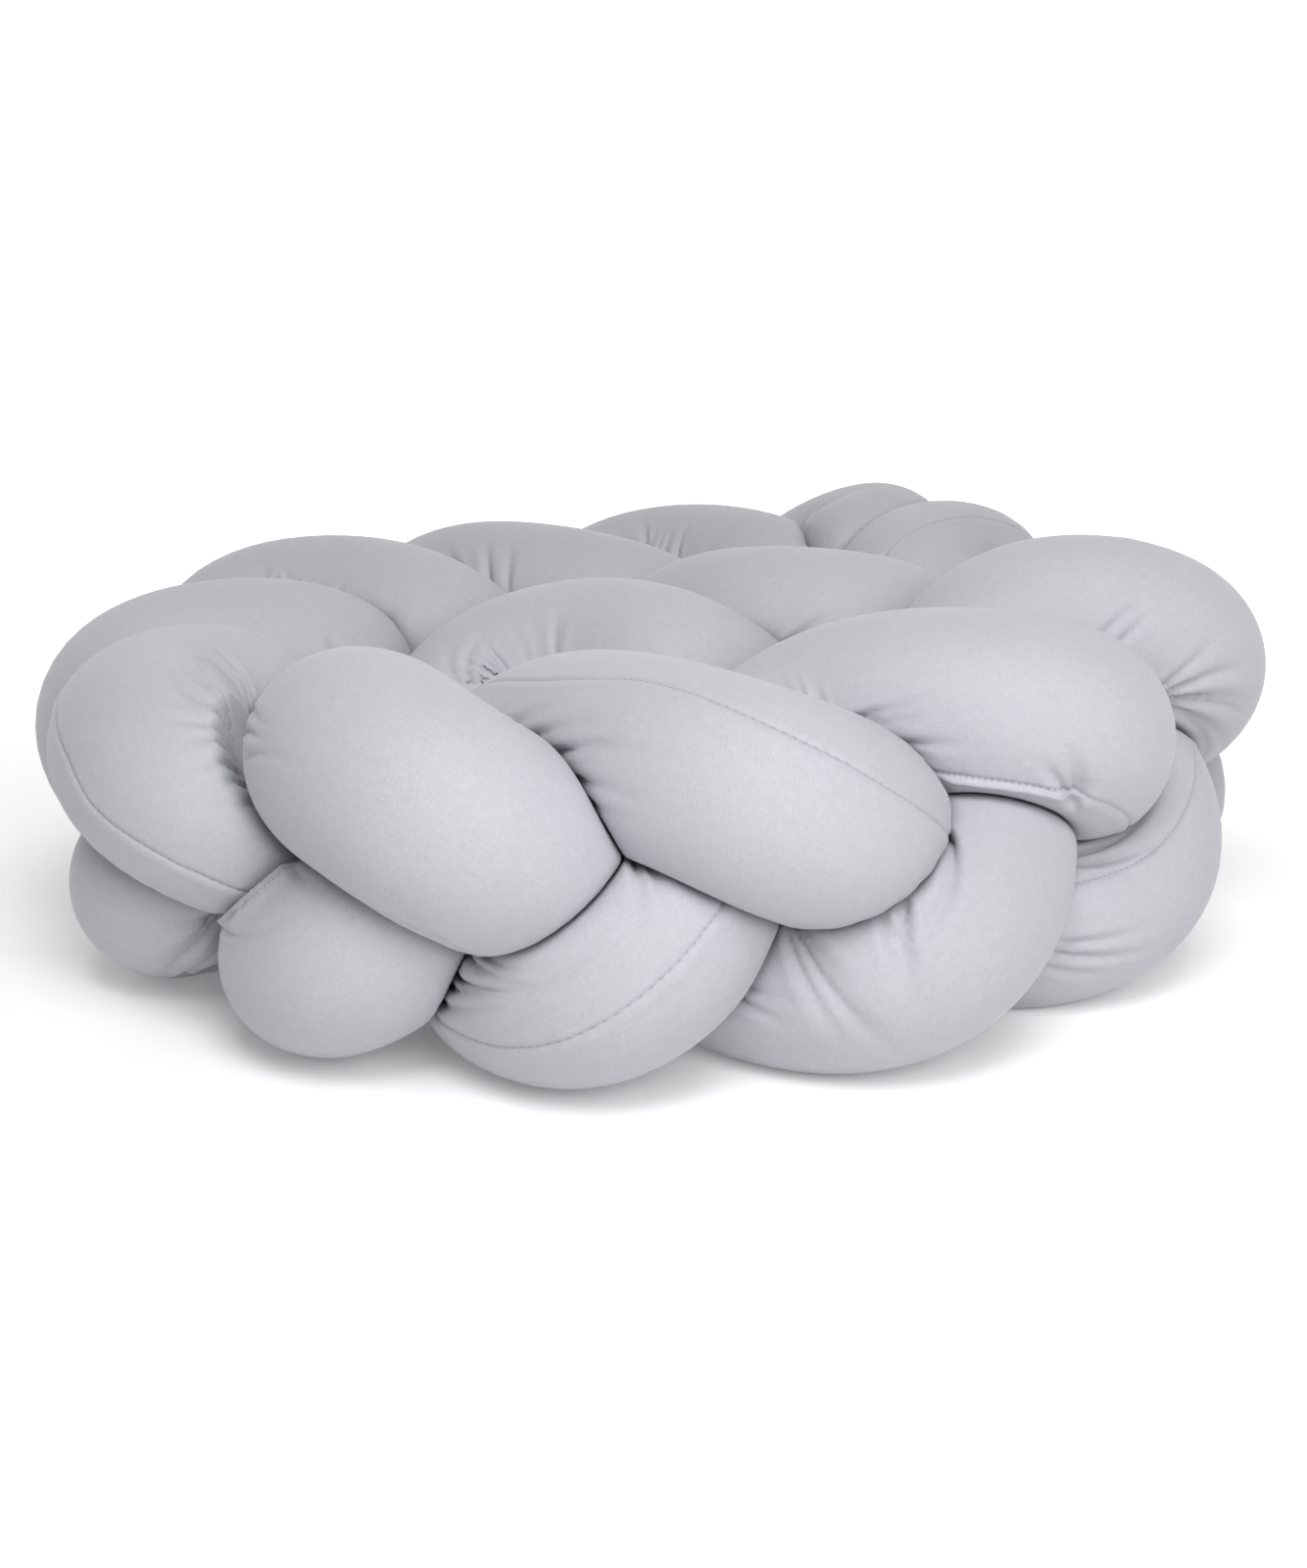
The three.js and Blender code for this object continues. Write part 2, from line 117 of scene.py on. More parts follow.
# Creases seen on the near side. fold, turn: the deep end, by fold and by degrees round the tube.
# fold2, turn2: the end that fades out. depth and width in millimetres.
CREASES = [
    dict(tube="tube_c", fold=11.335, turn=-31, fold2=11.157, turn2=-33, depth=1.5, width=2.8),
    dict(tube="tube_c", fold=11.34, turn=-23, fold2=11.19, turn2=-17, depth=1.7, width=2.8),
    dict(tube="tube_c", fold=11.345, turn=-16, fold2=11.235, turn2=-3, depth=1.5, width=2.8),
    dict(tube="tube_c", fold=11.36, turn=-9, fold2=11.285, turn2=3, depth=1.3, width=2.8),
    dict(tube="tube_c", fold=11.375, turn=-2, fold2=11.31, turn2=13, depth=1.5, width=2.8),
    dict(tube="tube_c", fold=11.385, turn=5, fold2=11.335, turn2=19, depth=1.3, width=2.8),
    dict(tube="tube_c", fold=11.395, turn=11, fold2=11.36, turn2=29, depth=1.6, width=2.8),
    dict(tube="tube_c", fold=11.41, turn=19, fold2=11.38, turn2=38, depth=1.2, width=2.8),
    dict(tube="tube_c", fold=11.445, turn=31, fold2=11.4, turn2=47, depth=0.9, width=2.8),
    dict(tube="tube_c", fold=10.87, turn=299, fold2=10.895, turn2=320, depth=1.2, width=2.6),
    dict(tube="tube_b", fold=0.793, turn=85, fold2=0.936, turn2=77, depth=1.3, width=2.8),
    dict(tube="tube_b", fold=0.829, turn=95, fold2=1.01, turn2=83, depth=1.7, width=2.8),
    dict(tube="tube_b", fold=0.862, turn=104, fold2=1.024, turn2=100, depth=1.3, width=3),
    dict(tube="tube_b", fold=0.862, turn=118, fold2=1.024, turn2=110, depth=0.8, width=3),
    dict(tube="tube_b", fold=0.73, turn=75, fold2=0.858, turn2=70, depth=1, width=2.8),
    dict(tube="tube_c", fold=1.758, turn=94, fold2=1.898, turn2=90, depth=1.5, width=2.8),
    dict(tube="tube_c", fold=1.776, turn=97, fold2=1.915, turn2=97, depth=1.1, width=2.4),
    dict(tube="tube_c", fold=1.812, turn=110, fold2=1.967, turn2=110, depth=1.6, width=2.8),
    dict(tube="tube_c", fold=1.847, turn=117, fold2=1.95, turn2=117, depth=1.1, width=2.4),
    dict(tube="tube_c", fold=1.865, turn=134, fold2=2.001, turn2=130, depth=0.8, width=3),
    dict(tube="tube_c", fold=2.291, turn=141, fold2=2.259, turn2=120, depth=2, width=2.4),
    dict(tube="tube_c", fold=2.304, turn=143, fold2=2.238, turn2=127, depth=1.4, width=2.4),
    dict(tube="tube_c", fold=2.301, turn=143, fold2=2.301, turn2=130, depth=1.4, width=2.4),
    dict(tube="tube_c", fold=13.948, turn=112, fold2=14.037, turn2=83, depth=1.6, width=3),
    dict(tube="tube_c", fold=13.964, turn=123, fold2=14.052, turn2=90, depth=1.4, width=2.8),
    dict(tube="tube_b", fold=12.426, turn=104, fold2=12.57, turn2=87, depth=1.7, width=2.8),
    dict(tube="tube_b", fold=12.423, turn=106, fold2=12.61, turn2=93, depth=1.6, width=2.8),
    dict(tube="tube_b", fold=12.438, turn=107, fold2=12.63, turn2=103, depth=1.2, width=2.8),
    dict(tube="tube_b", fold=12.474, turn=110, fold2=12.689, turn2=110, depth=0.9, width=2.8),
    dict(tube="tube_b", fold=12.484, turn=98, fold2=12.59, turn2=80, depth=1, width=2.8),
    dict(tube="tube_b", fold=9.735, turn=13, fold2=9.587, turn2=130, depth=1.2, width=2.8),
    dict(tube="tube_a", fold=9.071, turn=154, fold2=9.114, turn2=173, depth=1.4, width=3),
    dict(tube="tube_a", fold=8.97, turn=148, fold2=9.043, turn2=167, depth=1.6, width=3),
    dict(tube="tube_a", fold=8.925, turn=119, fold2=8.907, turn2=153, depth=1.8, width=3),
    dict(tube="tube_a", fold=8.825, turn=123, fold2=8.847, turn2=150, depth=1.2, width=3),
    dict(tube="tube_a", fold=8.759, turn=129, fold2=8.759, turn2=157, depth=1, width=3),
    dict(tube="tube_c", fold=8.006, turn=295, fold2=8.092, turn2=317, depth=1.4, width=3),
    dict(tube="tube_c", fold=7.991, turn=293, fold2=8.025, turn2=320, depth=1.4, width=3),
    dict(tube="tube_c", fold=7.956, turn=299, fold2=7.974, turn2=323, depth=0.9, width=3),
    dict(tube="tube_b", fold=7.018, turn=317, fold2=7.107, turn2=370, depth=1.6, width=3),
    dict(tube="tube_b", fold=6.959, turn=326, fold2=6.991, turn2=370, depth=1.3, width=3),
    dict(tube="tube_b", fold=6.948, turn=333, fold2=6.896, turn2=370, depth=0.9, width=3),
    dict(tube="tube_a", fold=3.132, turn=109, fold2=3.254, turn2=77, depth=1.5, width=2.8),
    dict(tube="tube_a", fold=3.144, turn=108, fold2=3.289, turn2=83, depth=1.7, width=2.8),
    dict(tube="tube_a", fold=3.141, turn=110, fold2=3.306, turn2=90, depth=1.6, width=2.8),
    dict(tube="tube_a", fold=3.154, turn=108, fold2=3.342, turn2=100, depth=1.3, width=2.8),
    dict(tube="tube_a", fold=3.17, turn=110, fold2=3.36, turn2=110, depth=1, width=2.8),
    dict(tube="tube_a", fold=3.125, turn=104, fold2=3.187, turn2=70, depth=1, width=2.8),
    dict(tube="tube_a", fold=2.968, turn=69, fold2=3.04, turn2=50, depth=0.9, width=2.8),
    dict(tube="tube_a", fold=3.004, turn=76, fold2=3.056, turn2=60, depth=1.1, width=2.8),
    dict(tube="tube_b", fold=2.619, turn=57, fold2=2.79, turn2=57, depth=1.4, width=2.8),
    dict(tube="tube_b", fold=2.653, turn=42, fold2=2.808, turn2=47, depth=1.1, width=2.6),
    dict(tube="tube_b", fold=2.604, turn=62, fold2=2.755, turn2=70, depth=1, width=2.8),
    dict(tube="tube_b", fold=2.539, turn=105, fold2=2.653, turn2=110, depth=1.1, width=2.8),
    dict(tube="tube_b", fold=2.525, turn=110, fold2=2.653, turn2=123, depth=1.3, width=2.8),
    dict(tube="tube_b", fold=2.526, turn=120, fold2=2.603, turn2=130, depth=0.9, width=2.8),
    dict(tube="tube_a", fold=2.068, turn=1, fold2=1.909, turn2=40, depth=2, width=3.2),
    dict(tube="tube_a", fold=1.83, turn=36, fold2=1.808, turn2=67, depth=2.2, width=3),
    dict(tube="tube_a", fold=1.791, turn=39, fold2=1.791, turn2=67, depth=1.6, width=2.8),
    dict(tube="tube_a", fold=1.652, turn=36, fold2=1.707, turn2=83, depth=1.9, width=3),
    dict(tube="tube_a", fold=1.638, turn=39, fold2=1.676, turn2=80, depth=1.4, width=2.8),
    dict(tube="tube_a", fold=1.666, turn=36, fold2=1.707, turn2=67, depth=1.1, width=3),
    dict(tube="tube_a", fold=1.521, turn=73, fold2=1.587, turn2=83, depth=1.3, width=3),
    dict(tube="tube_a", fold=1.518, turn=68, fold2=1.601, turn2=73, depth=1.1, width=3),
    dict(tube="tube_c", fold=0.624, turn=62, fold2=0.755, turn2=83, depth=1.4, width=2.8),
    dict(tube="tube_c", fold=0.569, turn=79, fold2=0.774, turn2=87, depth=1.6, width=2.8),
    dict(tube="tube_c", fold=0.507, turn=97, fold2=0.755, turn2=93, depth=1.4, width=2.8),
    dict(tube="tube_c", fold=0.488, turn=108, fold2=0.702, turn2=100, depth=1.1, width=2.8),
    dict(tube="tube_c", fold=0.673, turn=59, fold2=0.793, turn2=77, depth=1, width=2.8),
    dict(tube="tube_c", fold=1.084, turn=44, fold2=1.016, turn2=70, depth=1.4, width=2.8),
    dict(tube="tube_c", fold=1.081, turn=53, fold2=1.034, turn2=77, depth=1, width=2.8),
    dict(tube="tube_a", fold=11.101, turn=10, fold2=11.001, turn2=20, depth=1.4, width=2.8),
    dict(tube="tube_a", fold=11.078, turn=19, fold2=10.959, turn2=33, depth=1.3, width=2.8),
    dict(tube="tube_a", fold=11.044, turn=42, fold2=10.82, turn2=50, depth=1.1, width=2.8),
    dict(tube="tube_a", fold=11.086, turn=16, fold2=11.044, turn2=3, depth=0.9, width=2.8),
    dict(tube="tube_a", fold=-0.175, turn=53, fold2=-0.006, turn2=53, depth=0.8, width=2.6),
    dict(tube="tube_a", fold=-0.079, turn=65, fold2=0.069, turn2=57, depth=0.7, width=2.6),
    dict(tube="tube_a", fold=-0.174, turn=39, fold2=-0.025, turn2=43, depth=0.7, width=2.6),
    dict(tube="tube_a", fold=0.472, turn=108, fold2=0.37, turn2=113, depth=0.9, width=3),
    dict(tube="tube_a", fold=0.525, turn=114, fold2=0.433, turn2=103, depth=0.8, width=3),
    dict(tube="tube_b", fold=-0.468, turn=66, fold2=-0.247, turn2=70, depth=0.9, width=2.6),
    dict(tube="tube_b", fold=-0.091, turn=30, fold2=-0.029, turn2=60, depth=0.7, width=2.6),
]

KEYS = ("x", "y", "rise", "lean", "slide", "shift", "deep")
ROWS = np.array([[row[k] for k in KEYS] for row in FOLDS], float)
FIRST = FOLDS[0]["fold"]


# ---------------------------------------------------------------- middle lines
def folds_at(u):
    """Values of the fold table between its rows, on a smooth curve through them."""
    n = len(ROWS)
    v = np.asarray(u, float) - FIRST
    i = np.clip(np.floor(v).astype(int), 0, n - 2)
    f = (v - i)[:, None]

    def at(k):
        low = np.minimum(k, 0)[:, None] * (ROWS[1] - ROWS[0])
        high = np.maximum(k - (n - 1), 0)[:, None] * (ROWS[-1] - ROWS[-2])
        return ROWS[np.clip(k, 0, n - 1)] + low + high

    a, b, c, d = at(i - 1), at(i), at(i + 1), at(i + 2)
    return 0.5 * (2 * b + (c - a) * f + (2 * a - 5 * b + 4 * c - d) * f**2 + (3 * b - a - 3 * c + d) * f**3)


def middle(tube, u):
    """A tube swings up and down once, and in and out twice, in every three folds."""
    turn = np.pi / 2 - 2 * np.pi * (u - tube["crest"]) / 3
    x, y, rise, lean, slide, shift, deep = folds_at(u).T
    ahead = folds_at(u + 0.001)[:, :2] - folds_at(u - 0.001)[:, :2]
    ahead /= np.linalg.norm(ahead, axis=1)[:, None]
    out = PLAIT_DEPTH * deep * np.sin(2 * turn) + lean * np.sin(turn) + shift
    along = slide * np.sin(turn)
    return np.stack([x + ahead[:, 1] * out + ahead[:, 0] * along - COIL_MIDDLE[0],
                     y - ahead[:, 0] * out + ahead[:, 1] * along - COIL_MIDDLE[1],
                     TUBE_RADIUS - SETTLE + rise * (1 + np.sin(turn))], 1)


class Route:
    """A tube's middle line, by its length from the tube's start."""

    def __init__(self, tube):
        self.u = np.linspace(tube["from"], tube["to"], 6000)
        self.p = middle(tube, self.u)
        self.run = np.r_[0, np.cumsum(np.linalg.norm(np.diff(self.p, axis=0), axis=1))]
        self.total = self.run[-1]

    def at(self, run):
        return np.stack([np.interp(run, self.run, self.p[:, i]) for i in range(3)], 1)

    def fold(self, run):
        return np.interp(run, self.run, self.u)


ROUTES = [Route(t) for t in TUBES]


# ---------------------------------------------------------------- small tools
def blur(a, rows, cols):
    """Gaussian blur of a (rings, columns) grid: it wraps round the tube and mirrors at its ends."""
    if rows > 0:
        k = int(3 * rows) + 1
        w = np.exp(-0.5 * (np.arange(-k, k + 1) / rows) ** 2)
        w /= w.sum()
        pad = np.concatenate([a[k:0:-1], a, a[-2:-k - 2:-1]], 0)
        n = 1 << int(np.ceil(np.log2(len(pad) + len(w))))
        spec = np.fft.rfft(w, n)
        spec = spec.reshape((-1,) + (1,) * (a.ndim - 1))
        a = np.fft.irfft(np.fft.rfft(pad, n, axis=0) * spec, n, axis=0)[2 * k:2 * k + a.shape[0]]
    if cols > 0:
        m = a.shape[1]
        f = np.fft.rfftfreq(m)
        g = np.exp(-2 * (np.pi * f * cols) ** 2)
        g = g.reshape((1, -1) + (1,) * (a.ndim - 2))
        a = np.fft.irfft(np.fft.rfft(a, axis=1) * g, m, axis=1)
    return a


def ease(x):
    x = np.clip(x, 0, 1)
    return x * x * (3 - 2 * x)


def outward(x):
    """Unit normals of a grid of points, rings by columns, closed round the tube."""
    along = np.empty_like(x)
    along[1:-1] = x[2:] - x[:-2]
    along[0] = x[1] - x[0]
    along[-1] = x[-1] - x[-2]
    across = np.roll(x, -1, 1) - np.roll(x, 1, 1)
    m = np.cross(along, across)
    m /= np.maximum(np.linalg.norm(m, axis=2), 1e-9)[..., None]
    return m


# ---------------------------------------------------------------- a tube's section
ANGLES = np.arange(COLUMNS) * 2 * np.pi / COLUMNS  # angles round the tube from its seam
ENDS = np.array([0.002, 0.01, 0.025, 0.05, 0.08, 0.12, 0.165, 0.215, 0.27, 0.33, 0.395, 0.465, 0.54, 0.62, 0.70, 0.785,
                 0.87, 0.95]) * CAP


def rings(total):
    """Lengths of the rings: close together on the rounded ends, even between them."""
    inner = total - 2 * CAP
    count = int(round(inner / STATION))
    return np.r_[ENDS, CAP + inner * np.arange(count + 1) / count, (total - ENDS)[::-1]]


def fine_rings(k):
    """Lengths of the finished tube's rings, which lie closer beside creases."""
    route = ROUTES[k]
    total = route.total
    at = np.linspace(CAP, total - CAP, 5400)
    busy = np.zeros(len(at))
    for c in CREASES + CLOSURES:
        if c["tube"] != TUBES[k]["name"]:
            continue
        a, b = sorted(np.interp([c["fold"], c["fold2"]], route.u, route.run))
        away = np.maximum(np.maximum(a - at, at - b), 0)
        busy = np.maximum(busy, 1 - ease((away - 4) / 16))
    count = BUDGET // (2 * FINE_COLUMNS) - 2 * len(ENDS)
    low, high = 0.0, 1 / FINE
    for _ in range(40):
        even = 0.5 * (low + high)
        density = even + busy * (1 / FINE - even)
        if density.mean() * (at[-1] - at[0]) > count - 1:
            high = even
        else:
            low = even
    done = np.r_[0, np.cumsum(0.5 * (density[1:] + density[:-1]) * np.diff(at))]
    return np.r_[ENDS, np.interp(np.linspace(0, done[-1], count), done, at), (total - ENDS)[::-1]]


def seam_angle(name, fold):
    rows = np.array(SEAMS[name], float)
    x, y = rows[:, 0], rows[:, 1]
    i = np.clip(np.searchsorted(x, fold) - 1, 0, len(x) - 2)
    f = np.clip((fold - x[i]) / (x[i + 1] - x[i]), 0, 1)
    m = np.gradient(y, x)
    h = x[i + 1] - x[i]
    a = (2 * f**3 - 3 * f**2 + 1) * y[i] + (f**3 - 2 * f**2 + f) * h * m[i]
    b = (-2 * f**3 + 3 * f**2) * y[i + 1] + (f**3 - f**2) * h * m[i + 1]
    return np.radians(a + b)


def frames(k, run):
    """Each ring's direction ahead, and the two axes of its plane: the first points to the seam."""
    route = ROUTES[k]
    e = 1.0
    t = route.at(np.minimum(run + e, route.total)) - route.at(np.maximum(run - e, 0))
    t /= np.linalg.norm(t, axis=1)[:, None]
    side = np.empty_like(t)
    s = np.array([0.0, 0.0, 1.0])
    for i in range(len(t)):
        s = s - t[i] * (s @ t[i])
        s /= np.linalg.norm(s)
        side[i] = s
    up = np.cross(t, side)
    a = seam_angle(TUBES[k]["name"], route.fold(run))[:, None]
    return t, side * np.cos(a) + up * np.sin(a), up * np.cos(a) - side * np.sin(a)


def fullness(k, run, total):
    e = np.clip(np.minimum(run / TUBES[k]["taper"], (total - run) / CAP), 0, 1)
    return (1 - (1 - e) ** BLUNT) ** (1 / BLUNT)


def radius(k, run):
    """Radius of a tube where nothing presses it, apart from its ends."""
    return TUBE_RADIUS * (1 + (TUBES[k]["swell"] - 1) * (1 - ease(run / SWELL)))


def walls(k, p, run, n):
    """How far it is from the middle line, in each direction, to the face shared with the nearest neighbour."""
    wall = np.full(n.shape[:2], 1e3)
    own = radius(k, run)
    for j, route in enumerate(ROUTES):
        runs = np.linspace(0, route.total, int(route.total / PROBE) + 1)
        q = route.at(runs)
        for i in range(len(p)):
            d = q - p[i]
            dist2 = (d * d).sum(1)
            keep = dist2 < (2.5 * TUBE_RADIUS) ** 2
            far = np.full(len(q), True)
            if j == k:
                apart = np.abs(runs - run[i])
                keep &= apart > 2.0
                far = apart > OWN_REACH
            gap = np.where(far, GAP, 0.0)
            if not keep.any():
                continue
            d, dist2, gap = d[keep], dist2[keep], gap[keep]
            toward = n[i] @ d.T + gap
            fuller = np.where(far[keep], own[i] ** 2 - radius(j, runs[keep]) ** 2, 0.0)
            w = np.where(toward > 1e-6, (dist2 - gap * gap + fuller) / (2 * np.maximum(toward, 1e-6)), 1e3)
            wall[i] = np.minimum(wall[i], w.min(1))
    return np.maximum(wall, 1.0)


def section(k):
    """The stuffed tube before its cloth is settled: rings of points round the middle line."""
    route = ROUTES[k]
    run = rings(route.total)
    p = route.at(run)
    t, e1, e2 = frames(k, run)
    n = e1[:, None] * np.cos(ANGLES)[None, :, None] + e2[:, None] * np.sin(ANGLES)[None, :, None]
    full = fullness(k, run, route.total)
    free = np.repeat((radius(k, run) * np.maximum(full, 0.01))[:, None], COLUMNS, 1)
    wall = walls(k, p, run, n)
    r = (free ** -FIRMNESS + wall ** -FIRMNESS) ** (-1 / FIRMNESS)
    x = p[:, None] + n * r[..., None]
    sign = 1.0 if (outward(x) * n).sum() > 0 else -1.0
    ratio = np.linalg.norm(np.gradient(x, axis=0), axis=2) / np.gradient(run)[:, None]
    return dict(k=k, name=TUBES[k]["name"], run=run, fold=route.fold(run), p=p, t=t, n=n, r=r, wall=wall, x=x, sign=sign, ratio=ratio)


# ---------------------------------------------------------------- cloth
MOST_SHORT = 0.50            # the deepest gathering of the cloth at the inside of a bend
TAUT = 0.86                  # cloth left this long or longer by a bend stays smooth


def settle(s, seed, rounds=110):
    """A cloth solver on the grid. A tube is sewn straight, so its cloth is as long on the inside of a
    bend as on the outside, and what is too long there buckles into wrinkles across the tube."""
    rng = np.random.default_rng(seed)
    x0 = s["x"].copy()
    run = s["run"]
    rows, cols = x0.shape[:2]
    space = np.linalg.norm(np.diff(x0, axis=0), axis=2)
    mid = np.diff(run)[:, None]
    ratio = space / mid
    extra = TAUT / np.maximum(ratio, 0.05) - 1
    extra = np.clip(blur(np.clip(extra, -0.3, 2), 2, 1), 0, None)
    extra = MOST_SHORT * (1 - np.exp(-extra / MOST_SHORT))
    end = np.minimum(run, run[-1] - run)
    soft = ease((end - 8) / 25)[:, None]
    extra *= 0.5 * (soft[1:] + soft[:-1])
    rest_run = (space * (1 + extra)).astype(np.float32)
    rest_round = np.linalg.norm(np.roll(x0, -1, 1) - x0, axis=2).astype(np.float32)
    ex = np.concatenate([extra[:1], 0.5 * (extra[1:] + extra[:-1]), extra[-1:]])
    m0 = outward(x0)
    if (m0 * s["n"]).sum() < 0:
        m0 = -m0
    start = blur(rng.standard_normal((rows, cols)), 1.1, 9)
    start /= start.std()
    big = blur(rng.standard_normal((rows, cols)), 2.6, 14)
    big /= big.std()
    x = x0 + m0 * ((0.35 * start + 0.35 * big) * ease(ex / 0.10))[..., None]
    room = np.clip(0.7 * (s["wall"] - s["r"]) - 0.3, 0.0, 3.0)
    x = x.astype(np.float32)
    x0 = x0.astype(np.float32)
    m0 = m0.astype(np.float32)
    stiff = np.float32(0.85)
    for it in range(rounds):
        for a in (0, 1):
            p, q = x[a:-1:2], x[a + 1::2]
            q = q[: len(p)]
            p = p[: len(q)]
            d = q - p
            l = np.sqrt((d * d).sum(2)) + 1e-6
            r = rest_run[a::2][: len(p)]
            c = d * (0.5 * stiff * (1 - r / l))[..., None]
            x[a:-1:2][: len(p)] += c
            x[a + 1::2][: len(p)] -= c
        for a in (0, 1):
            p, q = x[:, a::2], np.roll(x, -1, 1)[:, a::2]
            d = q - p
            l = np.sqrt((d * d).sum(2)) + 1e-6
            c = d * (0.5 * stiff * (1 - rest_round[:, a::2] / l))[..., None]
            x[:, a::2] += c
            idx = (np.arange(a, cols, 2) + 1) % cols
            x[:, idx] -= c
        # bending, along the tube and round it
        b = x[1:-1] - 0.5 * (x[2:] + x[:-2])
        b0 = x0[1:-1] - 0.5 * (x0[2:] + x0[:-2])
        x[1:-1] -= 0.045 * (b - b0)
        b = x - 0.5 * (np.roll(x, 1, 1) + np.roll(x, -1, 1))
        b0 = x0 - 0.5 * (np.roll(x0, 1, 1) + np.roll(x0, -1, 1))
        x -= 0.18 * (b - b0)
        if it % 4 == 3:
            d = x - x0
            low = blur(d, 4.5, 3).astype(np.float32)
            x -= 0.5 * low
            d = x - x0
            h = (d * m0).sum(2)
            over = np.maximum(h - room, 0) + np.minimum(h + 7.0, 0)
            x -= m0 * over[..., None]
            # sideways slip is held to what the spacing allows
            side = d - m0 * h[..., None]
            x -= 0.12 * side
    d = x - x0
    keep = ease((end - 6) / 16)[:, None, None]
    x = x0 + d * keep
    s["x"] = x.astype(float)
    s["moved"] = (d * keep * m0).sum(2).astype(float)
    return s


# ---------------------------------------------------------------- the finished grid
def four(i, f, count=None):
    """Places and weights of a smooth curve through four points in a row."""
    k = np.stack([i - 1, i, i + 1, i + 2])
    k = np.clip(k, 0, count - 1) if count else k % COLUMNS
    w = 0.5 * np.stack([-f + 2 * f**2 - f**3, 2 - 5 * f**2 + 3 * f**3, f + 4 * f**2 - 3 * f**3, -f**2 + f**3])
    return k, w


def remesh(s):
    """The settled cloth on a finer grid: rings close beside creases, columns close beside the seam
    and on the side that faces front."""
    rows = len(s["run"])
    run = fine_rings(s["k"])
    at = np.clip(np.interp(run, s["run"], np.arange(rows)), 0, rows - 1.0001)
    i = at.astype(int)
    k, w = four(i, at - i, rows)
    front = ((EYE - s["p"])[:, None] * s["n"]).sum(2) / 1000
    cx, sx = (front * np.cos(ANGLES)).sum(1), (front * np.sin(ANGLES)).sum(1)
    both = blur(np.stack([cx, sx], 1)[:, None, :], 6, 0)[:, 0]
    face = np.interp(run, s["run"], np.unwrap(np.arctan2(both[:, 1], both[:, 0])))
    fine = np.linspace(0, 2 * np.pi, 1081)
    turn = np.empty((len(run), FINE_COLUMNS))
    steps = np.arange(FINE_COLUMNS) / FINE_COLUMNS
    side = np.minimum(fine, 2 * np.pi - fine) * TUBE_RADIUS
    seam = 1 - ease((side - SEAM_HALF) / 4)
    for r in range(len(run)):
        density = 1 + 0.95 * ease(0.5 + 0.9 * np.cos(fine - face[r])) + 2.3 * seam
        sums = np.r_[0, np.cumsum(0.5 * (density[1:] + density[:-1]))]
        turn[r] = np.interp(steps, sums / sums[-1], fine)
    new = {}
    for key in ("x", "wall", "r", "moved"):
        v = s[key]
        if key == "wall":
            v = np.minimum(v, 70.0)
        if v.ndim == 2:
            v = v[..., None]
        rowed = (v[k] * w[:, :, None, None]).sum(0)
        c = turn / (2 * np.pi) * COLUMNS
        j = c.astype(int)
        kc, wc = four(j, c - j)
        r = np.arange(len(run))[:, None]
        v = sum(rowed[r, kc[q]] * wc[q][..., None] for q in range(4))
        new[key] = v if s[key].ndim == 3 else v[..., 0]
    route = ROUTES[s["k"]]
    new.update(k=s["k"], name=s["name"], run=run, fold=route.fold(run), v=turn * TUBE_RADIUS, sign=s["sign"])
    return new


# ---------------------------------------------------------------- creases, seams and closed ends
def toward(s, fold, turn):
    """Cloth coordinates of a place: millimetres along the tube, and millimetres round it from the seam."""
    route = ROUTES[s["k"]]
    run = np.interp(fold, route.u, route.run) + (fold - np.clip(fold, route.u[0], route.u[-1])) * 180
    a = math.radians(turn) - seam_angle(s["name"], np.array([float(fold)]))[0]
    return np.array([run, ((a + math.pi) % (2 * math.pi) - math.pi) * TUBE_RADIUS])


def wrap(v):
    return (v + GIRTH / 2) % GIRTH - GIRTH / 2


def crease(s, low, high, start, stop, depth, width, bow=0.0):
    """A valley with raised shoulders. It is deepest near its start and fades towards its other end.
    Where two meet, the deeper one counts."""
    run = s["run"]
    d = np.array([stop[0] - start[0], wrap(stop[1] - start[1])])
    length = math.hypot(*d)
    d /= length
    lo, hi = sorted((start[0], stop[0]))
    a, b = np.searchsorted(run, [lo - 12, hi + 12])
    if b - a < 2:
        return
    x = run[a:b, None] - start[0]
    y = wrap(s["v"][a:b] - start[1])
    t = (x * d[0] + y * d[1]) / length
    tc = np.clip(t, 0, 1)
    w = -x * d[1] + y * d[0] - bow * length * tc * (1 - tc)
    fade = ease((1 - t) / 0.95) * ease((t + 0.12) / 0.2)
    q = np.abs(w) / (width * (0.55 + 0.75 * tc))
    low[a:b] = np.minimum(low[a:b], -1.1 * depth * fade / (1 + (1.6 * q) ** 2) * np.exp(-(q / 2.2) ** 2))
    high[a:b] = np.maximum(high[a:b], 0.3 * depth * fade * np.exp(-((q - 1.75) / 0.75) ** 2))


